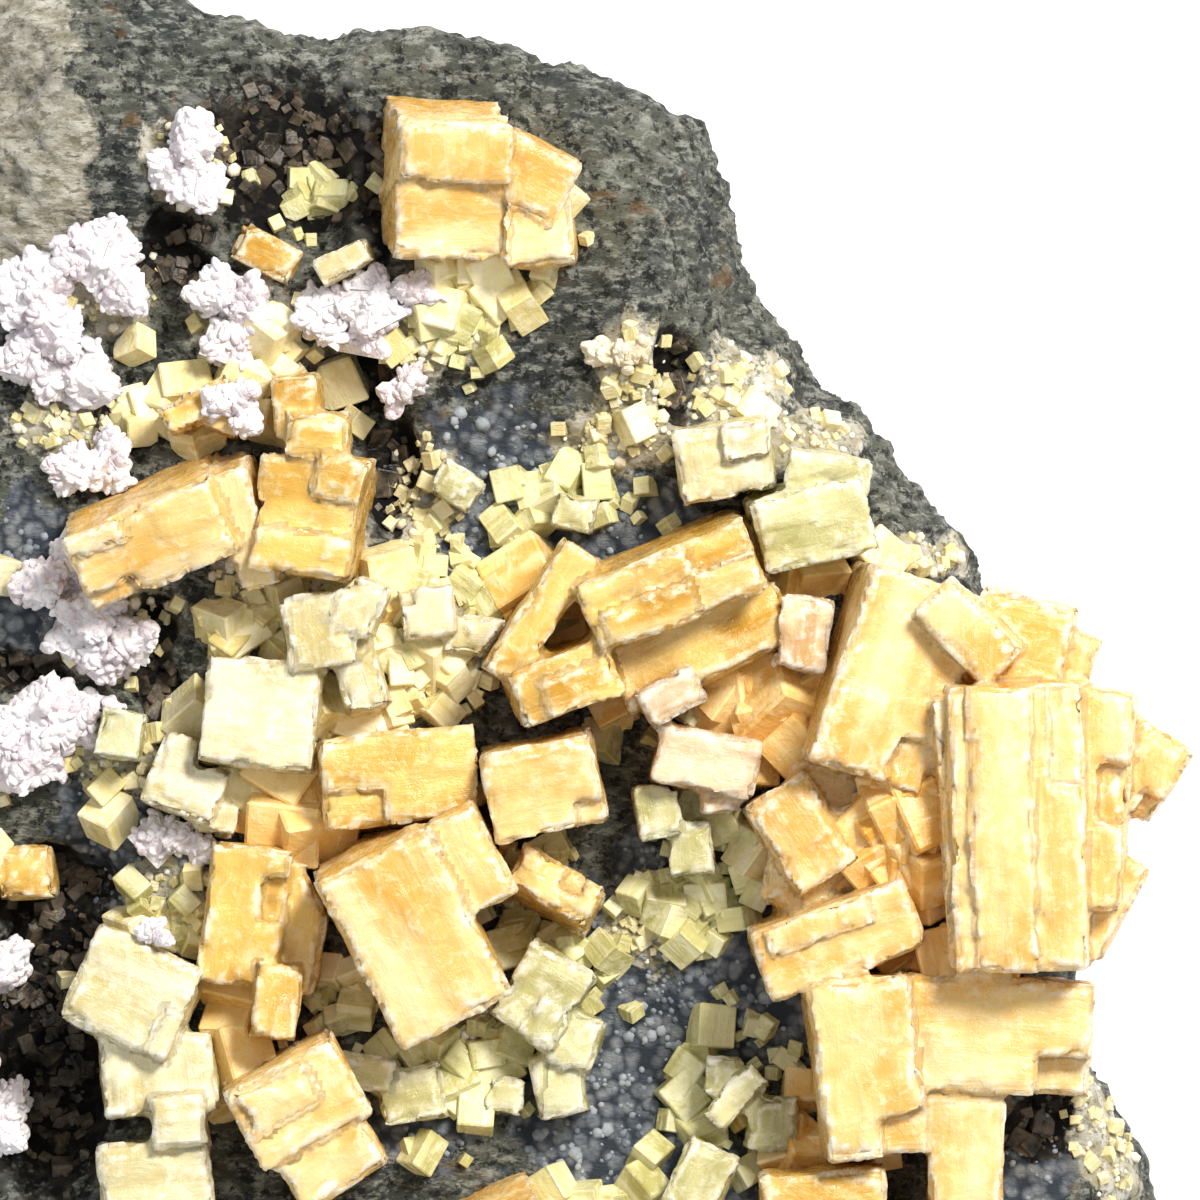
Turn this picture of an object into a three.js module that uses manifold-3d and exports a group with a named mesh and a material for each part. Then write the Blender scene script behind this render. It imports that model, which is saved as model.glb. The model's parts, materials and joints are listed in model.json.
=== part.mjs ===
// A hand specimen of honey-yellow fluorite with white barite on grey vein rock, lying on its broken back.
// Millimetres, +Z up towards the crystals. The origin is under the middle of the specimen, on the plane it rests on.
import * as THREE from "three";
import { mergeVertices } from "three/addons/utils/BufferGeometryUtils.js";
import Module from "manifold-3d";

const wasm = await Module();
wasm.setup();

// Driving dimensions
const PLAN_SIDE = 1200; // the plan is a square of this many units, x to the right and y down
const PLAN_WIDTH = 108; // real width of that square
const UNIT = PLAN_WIDTH / PLAN_SIDE;
const GAP = 0.3; // clearance between two separate pieces
const ROCK_HEIGHT = 26; // general height of the crystal bearing surface above the base
const EDGE_HEIGHT = 14; // mean height of the rock's widest line above the base
const EDGE_WANDER = 7; // how far that line wanders up and down
const EDGE_SLOPE = 165; // width of the broken slope round the rock, in plan units
const BASE_SHARE = 0.86; // the base's size as a share of the widest line
const BASE_WANDER = 0.08; // how far that share varies round the rock
const GRID = 24; // cells across the top of the rock
const SIDE_ROWS = 3; // rows of facets between the widest line and the base

const COLOURS = {
  rock: "#63665c",
  honey: "#e0b455",
  pale: "#e3d3a0",
  barite: "#f1efec",
};

// The rock's outline seen from above, in plan units, clockwise from the top
const OUTLINE = [
  [92, -66], [180, -4], [242, 12], [303, 25], [340, 18], [400, 17], [452, 17], [498, 32], [518, 52],
  [540, 48], [590, 60], [644, 83], [703, 108], [724, 132], [719, 166], [736, 188], [742, 255], [754, 282],
  [797, 338], [820, 380], [869, 405], [880, 430], [932, 487], [950, 524], [970, 532], [982, 590], [1040, 690],
  [1076, 800], [1088, 900], [1092, 1000], [1116, 1081], [1151, 1166], [1178, 1256], [1166, 1352], [1104, 1424],
  [1010, 1462], [902, 1448], [800, 1482], [690, 1470], [560, 1496], [430, 1466], [310, 1480], [190, 1436],
  [60, 1404], [-40, 1330], [-128, 1262], [-166, 1150], [-214, 1040], [-206, 920], [-240, 800], [-228, 660],
  [-250, 540], [-214, 420], [-226, 300], [-180, 190], [-150, 80], [-64, 10], [0, -50],
];
const MIDDLE = [480, 700]; // every point of the outline is in plain view from here

// Rises and hollows of the rock: place and reach in plan units, rise in millimetres
const LANDFORMS = [
  { at: [520, 500], reach: [120, 90], rise: -4.5 },
  { at: [640, 1010], reach: [130, 150], rise: -3.5 },
  { at: [290, 200], reach: [62, 42], rise: -9 },
  { at: [165, 335], reach: [42, 62], rise: -8 },
  { at: [372, 430], reach: [22, 50], rise: -5 },
  { at: [45, 1060], reach: [58, 120], rise: -12 },
  { at: [60, 880], reach: [60, 40], rise: -6 },
  { at: [160, 700], reach: [26, 50], rise: -5 },
  { at: [70, 110], reach: [60, 130], rise: 6 },
  { at: [620, 130], reach: [90, 50], rise: 5 },
  { at: [660, 270], reach: [60, 80], rise: 3.5 },
  { at: [420, 60], reach: [110, 30], rise: 4 },
  { at: [740, 410], reach: [70, 60], rise: 4 },
  { at: [690, 395], reach: [14, 34], rise: -5 },
  { at: [900, 470], reach: [60, 60], rise: 3 },
  { at: [1010, 1130], reach: [50, 50], rise: -5 },
  { at: [1090, 1130], reach: [26, 70], rise: 4 },
  { at: [-60, 560], reach: [80, 140], rise: 3 },
  { at: [-80, 980], reach: [70, 110], rise: 5 },
  { at: [300, 1360], reach: [160, 60], rise: 2.5 },
  { at: [860, 1330], reach: [140, 70], rise: 3 },
  { at: [985, 820], reach: [150, 320], rise: 12 },
];

// Plain helpers for places, random numbers and solids

const place = (x, y, z = 0) =>
  new THREE.Vector3((x - PLAN_SIDE / 2) * UNIT, (PLAN_SIDE / 2 - y) * UNIT, z);

function seeded(seed) {
  let state = seed * 2654435761;
  return () => {
    state = (Math.imul(state ^ (state >>> 15), 2246822519) + 0x9e3779b9) | 0;
    return ((state ^ (state >>> 13)) >>> 0) / 4294967296;
  };
}

function latticeValue(i, j, k) {
  const s = Math.sin(i * 127.1 + j * 311.7 + k * 74.7) * 43758.5453;
  return 2 * (s - Math.floor(s)) - 1;
}

// Smooth noise from -1 to 1 over points in space
function noise(x, y, z) {
  const [i, j, k] = [x, y, z].map(Math.floor);
  const ease = (t) => t * t * (3 - 2 * t);
  const [u, v, w] = [ease(x - i), ease(y - j), ease(z - k)];
  let sum = 0;
  for (const [a, b, c] of CORNERS)
    sum += latticeValue(i + a, j + b, k + c) * (a ? u : 1 - u) * (b ? v : 1 - v) * (c ? w : 1 - w);
  return sum;
}

function solidOf(geometry) {
  const bare = geometry.clone();
  bare.deleteAttribute("normal");
  bare.deleteAttribute("uv");
  const merged = mergeVertices(bare, 1e-4);
  const mesh = new wasm.Mesh({
    numProp: 3,
    vertProperties: new Float32Array(merged.attributes.position.array),
    triVerts: new Uint32Array(merged.index.array),
  });
  return new wasm.Manifold(mesh);
}

function geometryOf(solid) {
  const mesh = solid.getMesh();
  return new THREE.BufferGeometry()
    .setAttribute("position", new THREE.BufferAttribute(mesh.vertProperties, 3))
    .setIndex(new THREE.BufferAttribute(mesh.triVerts, 1));
}

const joined = (solids) => solids.reduce((a, b) => a.add(b));

function largestBody(solid) {
  return solid.decompose().reduce((a, b) => (b.volume() > a.volume() ? b : a));
}

// The rock

const CORNERS = [0, 1].flatMap((a) => [0, 1].flatMap((b) => [0, 1].map((c) => [a, b, c])));

const outlineBearings = OUTLINE.map(([x, y]) => {
  const [dx, dy] = [x - MIDDLE[0], y - MIDDLE[1]];
  return { bearing: Math.atan2(dy, dx), radius: Math.hypot(dx, dy) };
}).sort((a, b) => a.bearing - b.bearing);

// Distance in plan units from the middle to the outline on a bearing, along straight edges
function outlineRadius(bearing) {
  const n = outlineBearings.length;
  const after = outlineBearings.findIndex((p) => p.bearing > bearing);
  const b = outlineBearings[after < 0 ? 0 : after];
  const a = outlineBearings[((after < 0 ? 0 : after) - 1 + n) % n];
  const cross = (s, t) => Math.sin(t - s);
  return (
    (a.radius * b.radius * cross(a.bearing, b.bearing)) /
    (a.radius * cross(a.bearing, bearing) + b.radius * cross(bearing, b.bearing))
  );
}

// Height of the rock's upper surface at a plan point that lies this far inside the outline
function rockHeight(x, y, inside) {
  let z = ROCK_HEIGHT;
  for (const { at, reach, rise } of LANDFORMS)
    z += rise * Math.exp(-(((x - at[0]) / reach[0]) ** 2) - ((y - at[1]) / reach[1]) ** 2);
  const rough = 1.7 * noise(x / 120, y / 120, 3) + 1.1 * noise(x / 52, y / 52, 7);
  const ledges = 2.2 * Math.round(1.6 * noise(x / 95, y / 80, 11)) * 0.5;
  const edge = EDGE_HEIGHT + EDGE_WANDER * noise(x / 260, y / 260, 21);
  const slope = Math.min(1, Math.max(0, inside / EDGE_SLOPE));
  const fall = Math.pow(slope, 0.62);
  return edge + (z - edge) * fall + (rough + ledges * (1 - slope)) * Math.min(1, 0.35 + slope);
}

// Height of the rock's upper surface at a plan point
function surfaceAt(x, y) {
  const [dx, dy] = [x - MIDDLE[0], y - MIDDLE[1]];
  return rockHeight(x, y, outlineRadius(Math.atan2(dy, dx)) - Math.hypot(dx, dy));
}

function rockGeometry() {
  const points = [];
  const rim = [];
  const index = (i, j) => j * (GRID + 1) + i;
  for (let j = 0; j <= GRID; j++)
    for (let i = 0; i <= GRID; i++) {
      const [u, v] = [(2 * i) / GRID - 1, (2 * j) / GRID - 1];
      const share = Math.max(Math.abs(u), Math.abs(v));
      const bearing = Math.atan2(v, u);
      const radius = outlineRadius(bearing);
      const x = MIDDLE[0] + Math.cos(bearing) * radius * share;
      const y = MIDDLE[1] + Math.sin(bearing) * radius * share;
      points.push(place(x, y, rockHeight(x, y, radius * (1 - share))));
    }
  for (let i = 0; i < GRID; i++) rim.push(index(i, 0));
  for (let j = 0; j < GRID; j++) rim.push(index(GRID, j));
  for (let i = GRID; i > 0; i--) rim.push(index(i, GRID));
  for (let j = GRID; j > 0; j--) rim.push(index(0, j));

  const triangles = [];
  for (let j = 0; j < GRID; j++)
    for (let i = 0; i < GRID; i++) {
      const [a, b, c, d] = [index(i, j), index(i + 1, j), index(i + 1, j + 1), index(i, j + 1)];
      if ((i < GRID / 2) === (j < GRID / 2)) triangles.push(a, d, c, a, c, b);
      else triangles.push(a, d, b, b, d, c);
    }

  // The sides turn in under the widest line and reach the base with a knobbly face
  const middle = place(...MIDDLE);
  let upper = rim;
  for (let row = 1; row <= SIDE_ROWS; row++) {
    const down = row / SIDE_ROWS;
    const lower = rim.map((top) => {
      const edge = points[top];
      const out = edge.clone().sub(middle).setZ(0);
      const lumps = 0.035 * noise(edge.x / 9, edge.y / 9, row * 0.9) * (row < SIDE_ROWS ? 1 : 0.4);
      const inward = 1 - BASE_SHARE + BASE_WANDER * noise(edge.x / 21, edge.y / 21, 5);
      const share = 1 - inward * down ** 1.6 + lumps;
      points.push(middle.clone().add(out.multiplyScalar(share)).setZ(edge.z * (1 - down)));
      return points.length - 1;
    });
    upper.forEach((a, k) => {
      const next = (k + 1) % upper.length;
      triangles.push(a, upper[next], lower[next], a, lower[next], lower[k]);
    });
    upper = lower;
  }
  points.push(middle.clone().setZ(0));
  upper.forEach((a, k) => triangles.push(a, upper[(k + 1) % upper.length], points.length - 1));
  return new THREE.BufferGeometry().setFromPoints(points).setIndex(triangles);
}

// Fluorite: cubes grown singly and into each other

// A rectangular crystal from its front face. corner, along and across are three corners of that face in the plan,
// lean is how far the hidden edges shift sideways as they go down, depth is their real length and top the face's height.
// Each step is a stretch of the face, as shares of it, that grew higher or stayed lower by its rise.
function crystal({ corner, along, across, lean = [0, 0], depth, top, steps = [] }) {
  const into = new THREE.Vector3(lean[0] * UNIT, -lean[1] * UNIT, 0);
  into.z = -Math.sqrt(Math.max(depth * depth - into.lengthSq(), 0.2 * depth * depth));
  into.normalize();
  const start = place(...corner);
  const a = place(...along).sub(start);
  a.z = -(a.x * into.x + a.y * into.y) / into.z;
  const flat = place(...across).sub(start);
  const b = into.clone().cross(a);
  if (b.x * flat.x + b.y * flat.y < 0) b.negate();
  b.multiplyScalar(flat.length() / Math.hypot(b.x, b.y));
  const half = a.clone().add(b).multiplyScalar(0.5);
  start.z = top - half.z;

  const block = (u, v, rise, floor, grow) => {
    const size = [a.length() * (u[1] - u[0]), b.length() * (v[1] - v[0]), rise + floor];
    const box = new THREE.BoxGeometry(...size.map((s) => s + 2 * grow));
    const turn = new THREE.Matrix4().makeBasis(
      a.clone().normalize(),
      b.clone().normalize(),
      a.clone().cross(b).normalize(),
    );
    const centre = start
      .clone()
      .addScaledVector(a, (u[0] + u[1]) / 2)
      .addScaledVector(b, (v[0] + v[1]) / 2)
      .addScaledVector(into, (floor - rise) / 2);
    return solidOf(box.applyMatrix4(turn.setPosition(centre)));
  };

  return (grow) => {
    let made = block([0, 1], [0, 1], 0, depth, grow);
    for (const { u, v, rise } of steps) {
      if (grow) continue;
      if (rise > 0) made = made.add(block(u, v, rise, depth * 0.6, 0));
      else made = made.subtract(block(widened(u), widened(v), 2, -rise, 0));
    }
    return made;
  };
}

// A step that reaches the face's edge runs past it, so that the cut is open there
const widened = ([low, high]) => [low <= 0 ? -0.1 : low, high >= 1 ? 1.1 : high];

const CRYSTAL_GROUPS = {
  fluorite_right_cluster: [
    { corner: [945, 688], along: [1078, 684], across: [938, 972], lean: [10, -4], depth: 20, top: 47,
      steps: [{ u: [0.15, 0.62], v: [0, 1], rise: 0.9 }, { u: [0.75, 1], v: [0, 0.35], rise: -0.8 }] },
    { corner: [1060, 686], along: [1134, 692], across: [1054, 905], lean: [8, 0], depth: 18, top: 44.5,
      steps: [{ u: [0.6, 1], v: [0.35, 0.6], rise: -1.5 }] },
    { corner: [931, 700], along: [960, 698], across: [927, 964], lean: [-3, 0], depth: 18, top: 44.6 },
    { corner: [1064, 822], along: [1149, 868], across: [1026, 918], lean: [4, 4], depth: 16, top: 40.5 },
    { corner: [872, 563], along: [985, 600], across: [806, 758], lean: [-18, -5], depth: 18, top: 43,
      steps: [{ u: [0.7, 1], v: [0.75, 1], rise: -1.2 }] },
    { corner: [912, 614], along: [951, 576], across: [984, 686], lean: [2, -2], depth: 11, top: 45.5 },
    { corner: [985, 588], along: [1078, 612], across: [988, 700], lean: [6, -4], depth: 17, top: 38 },
    { corner: [1050, 622], along: [1102, 640], across: [1044, 690], lean: [4, 0], depth: 14, top: 36.5 },
    { corner: [1124, 706], along: [1194, 752], across: [1088, 782], lean: [4, 2], depth: 14, top: 37,
      steps: [{ u: [0, 0.3], v: [0, 0.3], rise: -1.2 }, { u: [0.75, 1], v: [0.7, 1], rise: -2 }] },
    { corner: [744, 808], along: [806, 770], across: [756, 912], lean: [-5, 0], depth: 15, top: 38.5 },
    { corner: [790, 762], along: [930, 792], across: [776, 905], lean: [2, 4], depth: 13, top: 34.5 },
    { corner: [812, 814], along: [862, 802], across: [828, 858], lean: [-4, 6], depth: 7, top: 37 },
    { corner: [748, 934], along: [902, 876], across: [778, 1000], lean: [-4, -7], depth: 16, top: 42,
      steps: [{ u: [0.1, 0.75], v: [0, 0.4], rise: 0.7 }] },
    { corner: [806, 985], along: [908, 972], across: [842, 1160], lean: [-6, -2], depth: 18, top: 42.5,
      steps: [{ u: [0.55, 1], v: [0.78, 1], rise: -2 }] },
    { corner: [896, 972], along: [1094, 982], across: [902, 1086], lean: [3, 2], depth: 18, top: 41,
      steps: [{ u: [0.72, 1], v: [0.66, 1], rise: -3 }] },
    { corner: [930, 1098], along: [1003, 1100], across: [925, 1206], lean: [3, -2], depth: 14, top: 40 },
  ],
  fluorite_bottom_block: [
    { corner: [760, 1176], along: [884, 1166], across: [776, 1282], lean: [-3, -6], depth: 15, top: 38.5 },
    { corner: [858, 1216], along: [916, 1200], across: [880, 1300], lean: [2, 3], depth: 12, top: 35.5 },
  ],
  fluorite_central: [
    { corner: [574, 588], along: [744, 522], across: [601, 655], lean: [-6, -17], depth: 15, top: 41,
      steps: [{ u: [0.66, 1], v: [0, 0.42], rise: -1.6 }, { u: [0.08, 0.6], v: [0.45, 1], rise: 0.6 }] },
    { corner: [600, 650], along: [772, 572], across: [636, 712], lean: [2, 6], depth: 13, top: 35.5 },
    { corner: [567, 540], along: [600, 562], across: [482, 668], lean: [-3, -4], depth: 12, top: 38.2 },
    { corner: [506, 674], along: [606, 636], across: [526, 730], lean: [-12, -9], depth: 15, top: 39.6,
      steps: [{ u: [0.25, 1], v: [0.3, 1], rise: 0.6 }] },
  ],
  fluorite_brown: [
    { corner: [662, 722], along: [764, 742], across: [640, 778], lean: [-3, 6], depth: 15, top: 36 },
    { corner: [632, 694], along: [690, 664], across: [654, 728], lean: [0, -6], depth: 15, top: 38.2 },
    { corner: [726, 700], along: [760, 660], across: [768, 736], lean: [2, 3], depth: 16, top: 39 },
    { corner: [700, 790], along: [744, 786], across: [704, 816], lean: [0, 4], depth: 8, top: 34 },
  ],
  fluorite_wedge: [
    { corner: [780, 594], along: [834, 600], across: [790, 668], lean: [-2, 4], depth: 15, top: 36.5 },
  ],
  fluorite_upper_right: [
    { corner: [750, 502], along: [862, 474], across: [780, 572], lean: [-9, -9], depth: 13, top: 37 },
    { corner: [790, 448], along: [872, 462], across: [788, 484], lean: [2, -4], depth: 9, top: 35.5 },
  ],
  fluorite_crusted: [
    { corner: [672, 432], along: [768, 418], across: [668, 506], lean: [0, -10], depth: 12, top: 33,
      steps: [{ u: [0.5, 1], v: [0, 0.5], rise: 1 }] },
  ],
  fluorite_middle_right: [
    { corner: [478, 756], along: [590, 733], across: [508, 842], lean: [2, -11], depth: 17, top: 39,
      steps: [{ u: [0.75, 1], v: [0.75, 1], rise: -1.2 }] },
  ],
  fluorite_striped: [
    { corner: [526, 842], along: [606, 888], across: [504, 880], lean: [-2, 26], depth: 14, top: 35.5,
      steps: [{ u: [0.55, 0.8], v: [0, 0.5], rise: -0.8 }] },
  ],
  fluorite_middle: [
    { corner: [318, 738], along: [474, 724], across: [330, 828], lean: [-8, 12], depth: 13, top: 36,
      steps: [{ u: [0, 0.4], v: [0.6, 1], rise: -1 }] },
  ],
  fluorite_lower_cube: [
    { corner: [316, 884], along: [428, 826], across: [425, 1038], lean: [-12, -21], depth: 17, top: 40.5 },
    { corner: [404, 838], along: [474, 803], across: [436, 934], lean: [-6, -12], depth: 16, top: 39.8 },
  ],
  fluorite_lower_back: [
    { corner: [212, 842], along: [292, 852], across: [203, 982], lean: [6, -3], depth: 12, top: 34,
      steps: [{ u: [0.7, 1], v: [0.2, 0.5], rise: -1.4 }] },
    { corner: [284, 862], along: [336, 872], across: [290, 990], lean: [3, 4], depth: 11, top: 31.5 },
    { corner: [256, 962], along: [304, 966], across: [246, 1036], lean: [-9, 6], depth: 10, top: 35.2 },
  ],
  fluorite_shaded: [
    { corner: [338, 1050], along: [398, 1062], across: [334, 1086], lean: [0, 6], depth: 9, top: 31.5 },
    { corner: [372, 1074], along: [438, 1062], across: [374, 1130], lean: [3, 3], depth: 9, top: 31 },
  ],
  fluorite_corner: [
    { corner: [99, 922], along: [206, 968], across: [73, 1022], lean: [4, 9], depth: 14, top: 36,
      steps: [{ u: [0.8, 1], v: [0.5, 1], rise: 0.7 }] },
    { corner: [98, 1040], along: [212, 1030], across: [114, 1118], lean: [-3, 6], depth: 13, top: 34.5 },
    { corner: [150, 1096], along: [204, 1092], across: [152, 1150], lean: [0, 4], depth: 9, top: 36.4 },
    { corner: [96, 1146], along: [208, 1136], across: [112, 1236], lean: [-3, 2], depth: 12, top: 35 },
  ],
  fluorite_bottom_left: [
    { corner: [222, 1094], along: [332, 1034], across: [264, 1172], lean: [-6, -9], depth: 15, top: 40.5,
      steps: [{ u: [0.1, 0.7], v: [0.1, 0.6], rise: 0.7 }] },
    { corner: [336, 1078], along: [388, 1160], across: [254, 1134], lean: [6, 4], depth: 14, top: 39.5 },
  ],
  fluorite_green: [
    { corner: [535, 937], along: [597, 976], across: [497, 1020], lean: [3, 6], depth: 10, top: 33,
      steps: [{ u: [0.5, 1], v: [0.45, 1], rise: 0.6 }] },
    { corner: [528, 1058], along: [578, 1048], across: [545, 1120], lean: [0, 5], depth: 9, top: 31 },
    { corner: [566, 1008], along: [608, 1024], across: [548, 1062], lean: [3, 0], depth: 9, top: 32 },
  ],
  fluorite_green_right: [
    { corner: [632, 788], along: [676, 781], across: [646, 840], lean: [0, 3], depth: 8, top: 33.4 },
    { corner: [666, 824], along: [712, 820], across: [682, 876], lean: [2, 4], depth: 8, top: 32 },
  ],
  fluorite_left_cube: [
    { corner: [60, 540], along: [208, 478], across: [100, 612], lean: [6, -36], depth: 14, top: 38.5,
      steps: [{ u: [0, 0.4], v: [0, 0.3], rise: 0.7 }, { u: [0, 0.3], v: [0.8, 1], rise: -1.2 }] },
    { corner: [206, 478], along: [246, 466], across: [216, 600], lean: [5, -24], depth: 12, top: 36.6 },
  ],
  fluorite_left_pair: [
    { corner: [262, 452], along: [364, 466], across: [269, 569], lean: [13, 1], depth: 16, top: 38,
      steps: [{ u: [0, 1], v: [0.62, 1], rise: 0.5 }] },
    { corner: [288, 414], along: [350, 418], across: [292, 456], lean: [3, -6], depth: 10, top: 39 },
    { corner: [322, 450], along: [368, 462], across: [330, 494], lean: [8, -2], depth: 9, top: 39.4 },
    { corner: [268, 378], along: [316, 374], across: [270, 440], lean: [5, -4], depth: 10, top: 34.5 },
  ],
  fluorite_slab: [
    { corner: [155, 408], along: [224, 371], across: [166, 438], lean: [3, 8], depth: 8, top: 33 },
    { corner: [214, 378], along: [254, 396], across: [204, 424], lean: [3, 4], depth: 7, top: 32.6 },
  ],
  fluorite_pale_group: [
    { corner: [217, 622], along: [272, 618], across: [216, 656], lean: [4, 4], depth: 8, top: 33.5 },
    { corner: [278, 600], along: [346, 588], across: [292, 672], lean: [2, 3], depth: 10, top: 36 },
    { corner: [346, 572], along: [390, 588], across: [330, 626], lean: [3, -3], depth: 10, top: 36.4 },
    { corner: [208, 654], along: [322, 666], across: [224, 760], lean: [5, 9], depth: 11, top: 35 },
    { corner: [330, 656], along: [374, 644], across: [348, 716], lean: [2, 5], depth: 9, top: 33.4 },
  ],
  fluorite_left_small: [
    { corner: [166, 728], along: [238, 756], across: [170, 804], lean: [-2, 8], depth: 9, top: 32.4 },
    { corner: [196, 800], along: [238, 806], across: [196, 832], lean: [0, 4], depth: 7, top: 31.4 },
  ],
  fluorite_upper: [
    { corner: [402, 124], along: [515, 126], across: [400, 262], lean: [-22, -35], depth: 15, top: 37,
      steps: [{ u: [0, 0.95], v: [0.42, 1], rise: -1.3 }, { u: [0.35, 0.9], v: [0.5, 0.9], rise: -0.5 }] },
    { corner: [512, 130], along: [582, 166], across: [506, 198], lean: [0, -8], depth: 10, top: 35.6 },
    { corner: [503, 203], along: [570, 197], across: [509, 268], lean: [3, 4], depth: 9, top: 34.6 },
    { corner: [466, 284], along: [488, 264], across: [484, 304], lean: [2, 3], depth: 6, top: 32.4 },
  ],
  fluorite_pocket: [
    { corner: [243, 221], along: [302, 250], across: [230, 256], lean: [3, 7], depth: 7, top: 27.5 },
  ],
  fluorite_ledge: [
    { corner: [309, 262], along: [362, 234], across: [320, 288], lean: [3, 3], depth: 6, top: 31 },
  ],
  fluorite_pale_cube: [
    { corner: [397, 590], along: [452, 584], across: [391, 640], lean: [3, 3], depth: 7, top: 31.4,
      steps: [{ u: [0, 0.3], v: [0, 0.3], rise: -0.8 }] },
    { corner: [446, 612], along: [506, 620], across: [458, 650], lean: [2, 4], depth: 7, top: 29.6 },
  ],
  fluorite_grey_cube: [{ corner: [557, 490], along: [598, 497], across: [554, 526], lean: [4, 3], depth: 6, top: 27 }],
  fluorite_set_cube: [{ corner: [446, 458], along: [485, 482], across: [430, 490], lean: [2, 2], depth: 6, top: 28 }],
  fluorite_foot_cubes: [
    { corner: [750, 1064], along: [770, 1083], across: [704, 1116], lean: [2, 3], depth: 8, top: 31.4 },
    { corner: [707, 1056], along: [740, 1058], across: [706, 1095], lean: [0, 2], depth: 6, top: 29.6 },
    { corner: [750, 1094], along: [800, 1100], across: [748, 1150], lean: [2, 4], depth: 8, top: 29.4 },
  ],
  fluorite_floor_cube: [{ corner: [488, 1076], along: [526, 1082], across: [483, 1112], lean: [0, 3], depth: 6, top: 29.4 }],
  fluorite_bottom_small: [
    { corner: [690, 1136], along: [742, 1160], across: [672, 1210], lean: [0, 4], depth: 8, top: 30 },
  ],
  fluorite_shadow_crystal: [
    { corner: [-8, 850], along: [48, 846], across: [-4, 902], lean: [2, 4], depth: 8, top: 27.5 },
  ],
  fluorite_barite_cube: [
    { corner: [100, 706], along: [146, 714], across: [96, 756], lean: [2, 4], depth: 8, top: 32.4 },
  ],
  fluorite_far_left: [
    { corner: [-150, 880], along: [-62, 850], across: [-120, 968], lean: [-26, -30], depth: 14, top: 33 },
    { corner: [-76, 900], along: [-24, 916], across: [-92, 962], lean: [13, 24], depth: 11, top: 31 },
  ],
  fluorite_far_bottom: [
    { corner: [420, 1240], along: [540, 1200], across: [462, 1350], lean: [-20, -42], depth: 15, top: 34.5,
      steps: [{ u: [0.5, 1], v: [0, 0.5], rise: 0.7 }] },
    { corner: [520, 1290], along: [600, 1300], across: [510, 1360], lean: [16, 25], depth: 11, top: 31.5 },
    { corner: [352, 1300], along: [420, 1290], across: [360, 1372], lean: [-13, 15], depth: 10, top: 30.5 },
  ],
  fluorite_far_corner: [
    { corner: [960, 1290], along: [1060, 1250], across: [1000, 1376], lean: [26, -28], depth: 14, top: 31.5 },
    { corner: [900, 1350], along: [980, 1350], across: [904, 1416], lean: [10, 25], depth: 10, top: 28.5 },
  ],
};

// Barite: white rosettes of blades that grew last, over rock and fluorite

// Each rosette: the route in the plan that its blades stand along, their number and their reach in millimetres.
// One that grew on fluorite also has the height of its root.
const ROSETTES = {
  barite_upper: { route: [[176, 188], [188, 152], [234, 180]], blades: 6, reach: 5.4 },
  barite_fall: { route: [[234, 266], [240, 310], [254, 356]], blades: 6, reach: 4.8 },
  barite_crest: { route: [[330, 322], [362, 306], [398, 284]], blades: 6, reach: 5.8 },
  barite_left_upper: { route: [[72, 262], [104, 276], [128, 256]], blades: 5, reach: 5.8 },
  barite_left_edge: { route: [[22, 284], [44, 330], [70, 384]], blades: 7, reach: 6.4 },
  barite_on_slab: { route: [[226, 404], [242, 424]], blades: 4, reach: 3.2, root: 32.4 },
  barite_dot: { route: [[404, 388], [412, 404]], blades: 3, reach: 3 },
  barite_shelf: { route: [[74, 478], [112, 462]], blades: 4, reach: 4.4 },
  barite_diagonal: { route: [[52, 562], [86, 614], [124, 668]], blades: 7, reach: 5.2 },
  barite_fan: { route: [[-26, 760], [30, 742], [84, 724]], blades: 7, reach: 6.8 },
  barite_small_fan: { route: [[166, 848], [196, 826]], blades: 4, reach: 4.4 },
  barite_bead: { route: [[150, 930], [158, 936]], blades: 3, reach: 2, root: 35.4 },
  barite_low: { route: [[-14, 976], [12, 996], [28, 1024]], blades: 5, reach: 6 },
  barite_lowest: { route: [[-44, 1106], [4, 1130]], blades: 5, reach: 5.6 },
  barite_outer: { route: [[-124, 416], [-92, 440], [-70, 474]], blades: 5, reach: 6.4 },
  barite_bottom: { route: [[178, 1296], [214, 1320], [252, 1326]], blades: 5, reach: 6 },
  barite_fin: { route: [[616, 384], [610, 346], [636, 326], [652, 352], [648, 404]], blades: 7, reach: 3.2 },
};

const BLADE_SHARES = [1, 0.95, 0.72]; // half the length, width and thickness of a blade, as shares of its length
const BLADE_LENGTH = 0.62; // half a blade's length as a share of the reach

function pointAlong(route, t) {
  const whole = t * (route.length - 1);
  const leg = Math.min(Math.floor(whole), route.length - 2);
  return [0, 1].map((c) => route[leg][c] + (route[leg + 1][c] - route[leg][c]) * (whole - leg));
}

function rosette({ route, blades, reach, root }, seed, grow) {
  const random = seeded(seed);
  const made = Array.from({ length: blades }, (_, k) => {
    const [x, y] = pointAlong(route, k / (blades - 1));
    const bearing = k * 2.4 + random();
    const lift = 0.35 + 0.75 * random();
    const direction = new THREE.Vector3(Math.cos(bearing), Math.sin(bearing), lift).normalize();
    const half = BLADE_LENGTH * reach * (0.85 + 0.35 * random());
    const centre = place(x, y, root ?? surfaceAt(x, y)).addScaledVector(direction, half * 0.7);
    const turn = new THREE.Quaternion().setFromUnitVectors(new THREE.Vector3(1, 0, 0), direction);
    turn.multiply(new THREE.Quaternion().setFromAxisAngle(new THREE.Vector3(1, 0, 0), random() * Math.PI));
    const scale = new THREE.Vector3(...BLADE_SHARES.map((share) => share * half + grow));
    return solidOf(new THREE.OctahedronGeometry(1).applyMatrix4(new THREE.Matrix4().compose(centre, turn, scale)));
  });
  return joined(made);
}

// Putting the specimen together: each piece sits on the rock and keeps clear of what grew before it

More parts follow.
